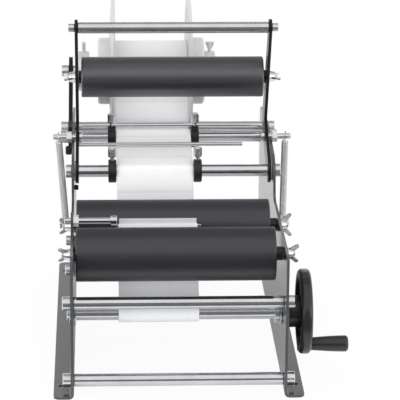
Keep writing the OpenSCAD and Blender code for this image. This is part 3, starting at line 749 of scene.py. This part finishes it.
@dataclass
class Winding(Assembly):
    """A paper roll wound on a core or shaft.

    Attributes:
        name: Name of the piece.
        node: The solid that it stands for, and whose ends it takes.
        body: The body that it turns with.
        axle: The solid that gives its axis.
        outer: Outer radius.
        inner: Inner radius.
        finish: The paper's finish.
        facets: Sides of the cylinder that it is turned from.
        layers: Steps of the ends from the rim inwards: share of the wall, and rise.
        edge: Width of the soft outer edges.
        edge_steps: Steps of those edges.
        facing: Least X of the normal of an end face.
        smooth: Angle in degrees up to which faces are shaded as one.
    """

    name: str
    node: str
    body: str
    axle: str
    outer: float
    inner: float
    finish: Finish
    facets: int = 128
    layers: Tuple[Tuple[float, float], ...] = (
        (0.16, 0.11588), (0.18, -0.05669), (0.22, 0.09764), (0.24, 0.04575), (0.2, -0.09012))
    edge: float = 0.25
    edge_steps: int = 2
    facing: float = 0.9
    smooth: float = 35.0

    def build(self) -> List[str]:
        """Turns the roll from a cylinder: stepped layers, a hole through it and soft outer edges.

        Returns:
            The name of the piece.
        """
        axis = axis_of(self.axle)
        left, right = (corner.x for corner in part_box(self.node))
        middle = at(0.0, axis)
        middle.x = (left + right) / 2
        bpy.ops.object.select_all(action="DESELECT")
        bpy.ops.mesh.primitive_cylinder_add(
            vertices=self.facets, radius=self.outer * MM, depth=right - left, location=middle,
            rotation=(0.0, math.pi / 2, 0.0))
        piece = bpy.context.object
        piece.name = piece.data.name = self.name
        bpy.ops.object.transform_apply(location=True, rotation=True, scale=True)
        self._step_ends(piece)
        rim = piece.modifiers.new("soft edge", "BEVEL")
        rim.width = self.edge * MM
        rim.segments = self.edge_steps
        rim.limit_method = "ANGLE"
        bpy.ops.object.modifier_apply(modifier=rim.name)
        bpy.ops.object.shade_smooth_by_angle(angle=math.radians(self.smooth))
        piece.data.materials.append(replace(self.finish, centre=tuple(at(0.0, axis))).make())
        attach(piece, self.body)
        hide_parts(self.node)
        return [piece.name]

    def _step_ends(self, piece: bpy.types.Object) -> None:
        """Insets both ends in stepped layers and opens the hole between them.

        Args:
            piece: The cylinder, active and selected.
        """
        bpy.ops.object.mode_set(mode="EDIT")
        bpy.ops.mesh.select_mode(type="FACE")
        bpy.ops.mesh.select_all(action="DESELECT")
        bpy.ops.object.mode_set(mode="OBJECT")
        for face in piece.data.polygons:
            face.select = abs(face.normal.x) > self.facing
        bpy.ops.object.mode_set(mode="EDIT")
        wall = self.outer - self.inner
        for share, rise in self.layers:
            bpy.ops.mesh.inset(thickness=wall * share * MM, use_individual=True, depth=rise * MM)
        bpy.ops.mesh.bridge_edge_loops()
        bpy.ops.mesh.select_all(action="SELECT")
        bpy.ops.mesh.normals_make_consistent(inside=False)
        bpy.ops.object.mode_set(mode="OBJECT")


@dataclass
class TensionSpring(Assembly):
    """A tension spring between the post on the plate and the bolt on the arm.

    Attributes:
        side: +1 on the crank side, -1 on the other.
        node: The solid that it stands for.
        body: The body that it swings with.
        post: [depth, height] of the post.
        bolt: [depth, height] of the bolt.
        stations: Stations of the two eyes.
        coil: Mean radius of the coil.
        wire: Wire radius.
        eye: Radius of the eyes.
        eye_arc: Angle in degrees that the wire of an eye runs round.
        lead: Length of the lead from eye to coil.
        turns: Number of turns.
        keep: Share of its length that is left when the arm is right forward; not used.
        eye_steps: Steps of an eye.
        lead_steps: Steps of a lead.
        turn_steps: Steps of one turn.
        roundness: Steps of the wire's round section.
    """

    side: int
    node: str
    body: str
    post: Place = (156.0, 119.3)
    bolt: Place = (238.0, 183.2)
    stations: Tuple[float, float] = (105.5, 113.5)
    coil: float = 2.85
    wire: float = 0.65
    eye: float = 4.6
    eye_arc: float = 300.0
    lead: float = 1.9
    turns: int = 42
    keep: float = 0.797
    eye_steps: int = 24
    lead_steps: int = 10
    turn_steps: int = 20
    roundness: int = 3

    def half_line(self, length: float) -> List[Vector]:
        """The wire from the free end of one eye to the middle of the coil.

        Args:
            length: Distance between the eye centres.

        Returns:
            Points in the spring's own frame, its axis along Z.
        """
        line: List[Vector] = []
        for k in range(self.eye_steps + 1):
            g = math.radians(90.0 - self.eye_arc * (1.0 - k / self.eye_steps))
            line.append(Vector((self.eye * math.cos(g), 0.0, self.eye * math.sin(g))))
        for k in range(1, self.lead_steps + 1):
            u = k / self.lead_steps
            g, r = math.radians(180.0 + 180.0 * u), self.coil * u * (2.0 - u)
            line.append(Vector((r * math.cos(g), r * math.sin(g), self.eye + self.lead * u)))
        start = self.eye + self.lead
        pitch = (length - 2.0 * start) / self.turns
        for k in range(1, self.turns // 2 * self.turn_steps + 1):
            turn = k / self.turn_steps
            g = 2.0 * math.pi * turn
            line.append(Vector((self.coil * math.cos(g), self.coil * math.sin(g),
                                start + pitch * turn)))
        return line

    def build(self) -> List[str]:
        """Winds the spring as a round wire and hooks it on its post and bolt.

        Returns:
            The name of the piece.
        """
        low = at(self.side * self.stations[0], self.post)
        along = at(self.side * self.stations[1], self.bolt) - low
        length = along.length / MM
        half = self.half_line(length)
        line = half + [Vector((p.x, -p.y, length - p.z)) for p in reversed(half[:-1])]
        axis = along.normalized()
        inward = Vector((-self.side, 0.0, 0.0))
        across = (inward - axis * inward.dot(axis)).normalized()
        turn = Matrix((across.cross(axis), across, axis)).transposed()
        curve = bpy.data.curves.new(self.node + "_wire", "CURVE")
        curve.dimensions = "3D"
        curve.bevel_depth = self.wire * MM
        curve.bevel_resolution = self.roundness
        curve.use_fill_caps = True
        spline = curve.splines.new("POLY")
        spline.points.add(len(line) - 1)
        for point, place in zip(spline.points, line):
            point.co = (*(low + turn @ (place * MM)), 1.0)
        piece = bpy.data.objects.new(self.node + "_wire", curve)
        bpy.context.scene.collection.objects.link(piece)
        only(piece)
        bpy.ops.object.convert(target="MESH")
        piece = bpy.context.object
        bpy.ops.object.shade_smooth()
        piece.data.materials.clear()
        piece.data.materials.append(WIRE.make())
        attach(piece, self.body)
        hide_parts(self.node)
        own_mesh(piece)
        return [piece.name]


@dataclass(frozen=True)
class Card:
    """A card that only mirrors see.

    Attributes:
        name: Name of the card.
        place: Its middle.
        size: Its width and depth.
        lean: Turn about X in degrees, 0 where it lies flat.
        tone: Grey of its face.
        glow: Strength of its own light.
    """

    name: str
    place: Point
    size: Tuple[float, float]
    lean: float
    tone: float
    glow: float = 0.0


@dataclass(frozen=True)
class Lamp:
    """A flat lamp that is aimed at the machine.

    Attributes:
        name: Name of the lamp.
        place: Its middle.
        size: Its width and height.
        power: Power in watts.
        mirrored: Whether bright metal shows it.
    """

    name: str
    place: Point
    size: Tuple[float, float]
    power: float
    mirrored: bool


@dataclass
class Studio:
    """Camera, floor, backdrop and soft light, in metres.

    Attributes:
        eye: Place of the camera.
        pitch: How far it looks down, in degrees.
        pan: How far it is turned to the right, in degrees.
        roll: Lean of the picture, in degrees.
        lens: Focal length in millimetres.
        sensor: Width of the sensor in millimetres.
        nearest: Distance from which the camera sees.
        ambient: Light that the surround gives to matt surfaces.
        floor_size: Side of the floor.
        floor_drop: How far the floor lies under the feet.
        floor_tone: Grey of the floor.
        floor_white: Share of plain white in the floor as the camera sees it.
        floor_mirrored: The same share as bright metal shows it.
        floor_gloss: Strength of the floor's mirror part.
        matt: Roughness of the floor and the cards.
        aim: The point that the lamps are turned to.
        cards: The cards, for the dark and grey lines on bright metal.
        lamps: The lamps: one in front above the machine, one over it and low ones before it.
    """

    eye: Point = (-0.0724, -2.1574, 0.8304)
    pitch: float = 17.92
    pan: float = 2.49
    roll: float = 0.35
    lens: float = 207.0
    sensor: float = 36.0
    nearest: float = 0.05
    ambient: float = 0.94
    floor_size: float = 14.0
    floor_drop: float = 0.0004
    floor_tone: float = 0.95
    floor_white: float = 0.95
    floor_mirrored: float = 0.3
    floor_gloss: float = 0.1
    matt: float = 0.9
    aim: Point = (0.0, 0.0, 0.12)
    cards: Tuple[Card, ...] = (
        Card("card_before", (0.0, -4.0, 0.85), (6.0, 1.7), 90.0, 0.16),
        Card("card_before_floor", (0.0, -1.8, 0.0002), (6.0, 3.1), 0.0, 0.1),
        Card("card_softbox", (0.0, -2.1, 2.4), (6.0, 4.2), 0.0, 0.0, glow=0.9),
        Card("card_overhead", (0.0, 0.85, 2.4), (6.0, 1.7), 0.0, 0.3),
        Card("card_behind", (0.0, 3.0, 2.5), (6.0, 1.5), 90.0, 0.1),
    )
    lamps: Tuple[Lamp, ...] = (
        Lamp("key", (-0.1, -1.6, 1.75), (1.6, 0.5), 2.5, False),
        Lamp("low_front", (0.0, -1.7, 0.22), (1.4, 0.3), 2.5, False),
        Lamp("low_left", (-1.7, -1.9, 0.6), (1.2, 1.2), 10.0, True),
        Lamp("low_right", (1.7, -1.9, 0.6), (1.2, 1.2), 10.0, True),
        Lamp("overhead", (-0.2, 0.4, 2.5), (2.0, 2.0), 14.0, False),
    )

    def build(self) -> None:
        """Sets up the whole studio."""
        self._camera()
        self._world()
        self._floor()
        for card in self.cards:
            self._card(card)
        for lamp in self.lamps:
            self._lamp(lamp)

    def _camera(self) -> None:
        """Adds the camera at the photograph's viewing angle."""
        data = bpy.data.cameras.new("camera")
        data.lens = self.lens
        data.sensor_width = self.sensor
        data.clip_start = self.nearest
        camera = bpy.data.objects.new("camera", data)
        bpy.context.scene.collection.objects.link(camera)
        base = Matrix.Rotation(math.radians(90.0 - self.pitch), 4, "X")
        pan = Matrix.Rotation(math.radians(-self.pan), 4, "Y")
        roll = Matrix.Rotation(math.radians(-self.roll), 4, "Z")
        camera.matrix_world = Matrix.Translation(self.eye) @ base @ pan @ roll
        bpy.context.scene.camera = camera

    @staticmethod
    def _seen(tree: bpy.types.NodeTree, straight: float,
              mirrored: float) -> bpy.types.NodeSocket:
        """A value for the rays that show the backdrop: straight or through glass, and mirrored.

        Args:
            tree: The node tree to add it to.
            straight: Value where the camera sees it.
            mirrored: Value where a mirror sees it.

        Returns:
            The value socket, zero for every other ray.
        """
        path = tree.nodes.new("ShaderNodeLightPath")
        value = None
        for ray, level in (("Is Camera Ray", straight), ("Is Transmission Ray", straight),
                           ("Is Glossy Ray", mirrored)):
            scaled = tree.nodes.new("ShaderNodeMath")
            scaled.operation = "MULTIPLY"
            scaled.inputs[1].default_value = level
            tree.links.new(path.outputs[ray], scaled.inputs[0])
            if value is None:
                value = scaled.outputs[0]
                continue
            larger = tree.nodes.new("ShaderNodeMath")
            larger.operation = "MAXIMUM"
            tree.links.new(value, larger.inputs[0])
            tree.links.new(scaled.outputs[0], larger.inputs[1])
            value = larger.outputs[0]
        return value

    def _world(self) -> None:
        """Makes a white surround that lights softly."""
        world = bpy.data.worlds.new("studio")
        bpy.context.scene.world = world
        world.use_nodes = True
        tree = world.node_tree
        ground = tree.nodes["Background"]
        ground.inputs["Color"].default_value = opaque(WHITE)
        level = tree.nodes.new("ShaderNodeMapRange")
        level.inputs["To Min"].default_value = self.ambient
        level.inputs["To Max"].default_value = 1.0
        tree.links.new(self._seen(tree, 1.0, 1.0), level.inputs["Value"])
        tree.links.new(level.outputs["Result"], ground.inputs["Strength"])

    def _floor(self) -> None:
        """Lays a pale floor that fades into the white surround and keeps a soft shadow."""
        bpy.ops.object.select_all(action="DESELECT")
        bpy.ops.mesh.primitive_plane_add(size=self.floor_size,
                                         location=(0.0, 0.0, -self.floor_drop))
        floor = bpy.context.object
        floor.name = "floor"
        mat = bpy.data.materials.new("floor_white")
        mat.use_nodes = True
        tree = mat.node_tree
        shader = tree.nodes["Principled BSDF"]
        shader.inputs["Base Color"].default_value = opaque((self.floor_tone,) * 3)
        shader.inputs["Roughness"].default_value = self.matt
        shader.inputs["Specular IOR Level"].default_value = self.floor_gloss
        glow = tree.nodes.new("ShaderNodeEmission")
        glow.inputs["Color"].default_value = opaque(WHITE)
        blend = tree.nodes.new("ShaderNodeMixShader")
        seen = self._seen(tree, self.floor_white, self.floor_mirrored)
        tree.links.new(seen, blend.inputs["Fac"])
        tree.links.new(shader.outputs["BSDF"], blend.inputs[1])
        tree.links.new(glow.outputs["Emission"], blend.inputs[2])
        tree.links.new(blend.outputs["Shader"], tree.nodes["Material Output"].inputs["Surface"])
        floor.data.materials.append(mat)

    def _card(self, row: Card) -> None:
        """Sets up one card.

        Args:
            row: The card's place, size and tone.
        """
        bpy.ops.object.select_all(action="DESELECT")
        bpy.ops.mesh.primitive_plane_add(size=1.0, location=row.place,
                                         rotation=(math.radians(row.lean), 0.0, 0.0))
        card = bpy.context.object
        card.name = row.name
        card.scale = (*row.size, 1.0)
        bpy.ops.object.transform_apply(location=True, rotation=True, scale=True)
        card.visible_camera = card.visible_diffuse = False
        card.visible_shadow = card.visible_transmission = False
        mat = bpy.data.materials.new(row.name)
        mat.use_nodes = True
        shader = mat.node_tree.nodes["Principled BSDF"]
        shader.inputs["Base Color"].default_value = opaque((row.tone,) * 3)
        shader.inputs["Roughness"].default_value = self.matt
        shader.inputs["Emission Color"].default_value = opaque(WHITE)
        shader.inputs["Emission Strength"].default_value = row.glow
        card.data.materials.append(mat)

    def _lamp(self, row: Lamp) -> None:
        """Hangs one lamp.

        Args:
            row: The lamp's place, size and power.
        """
        lamp = bpy.data.lights.new(row.name, "AREA")
        lamp.shape = "RECTANGLE"
        lamp.size, lamp.size_y = row.size
        lamp.energy = row.power
        holder = bpy.data.objects.new(row.name, lamp)
        holder.location = row.place
        holder.visible_glossy = row.mirrored
        ray = Vector(self.aim) - Vector(row.place)
        holder.rotation_euler = ray.to_track_quat("-Z", "Y").to_euler()
        bpy.context.scene.collection.objects.link(holder)


def main() -> None:
    """Builds the studio and every sub-assembly in order, and reports each piece."""
    logging.basicConfig(level=logging.INFO, format="%(name)s: %(message)s")
    bpy.ops.wm.read_factory_settings(use_empty=True)
    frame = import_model()
    bpy.context.scene.view_settings.view_transform = "Standard"
    Studio().build()
    assemblies: List[Assembly] = [
        Solids(frame["nodes"]),
        PaperWeb(),
        Winding("label_winding", "label_roll", "label_reel", "label_roll", ROLL_OUTER,
                ROLL_INNER, ROLL_LAYERS),
        Winding("liner_winding", "wound_liner", "crank", "take_up_shaft", WOUND_OUTER,
                WOUND_INNER, LINER_LAYERS),
        TensionSpring(1, "right_spring", "right_spring_link"),
        TensionSpring(-1, "left_spring", "left_spring_link"),
    ]
    for assembly in assemblies:
        for name in assembly.build():
            LOG.info("%s is in place", name)


if __name__ == "__main__":
    main()
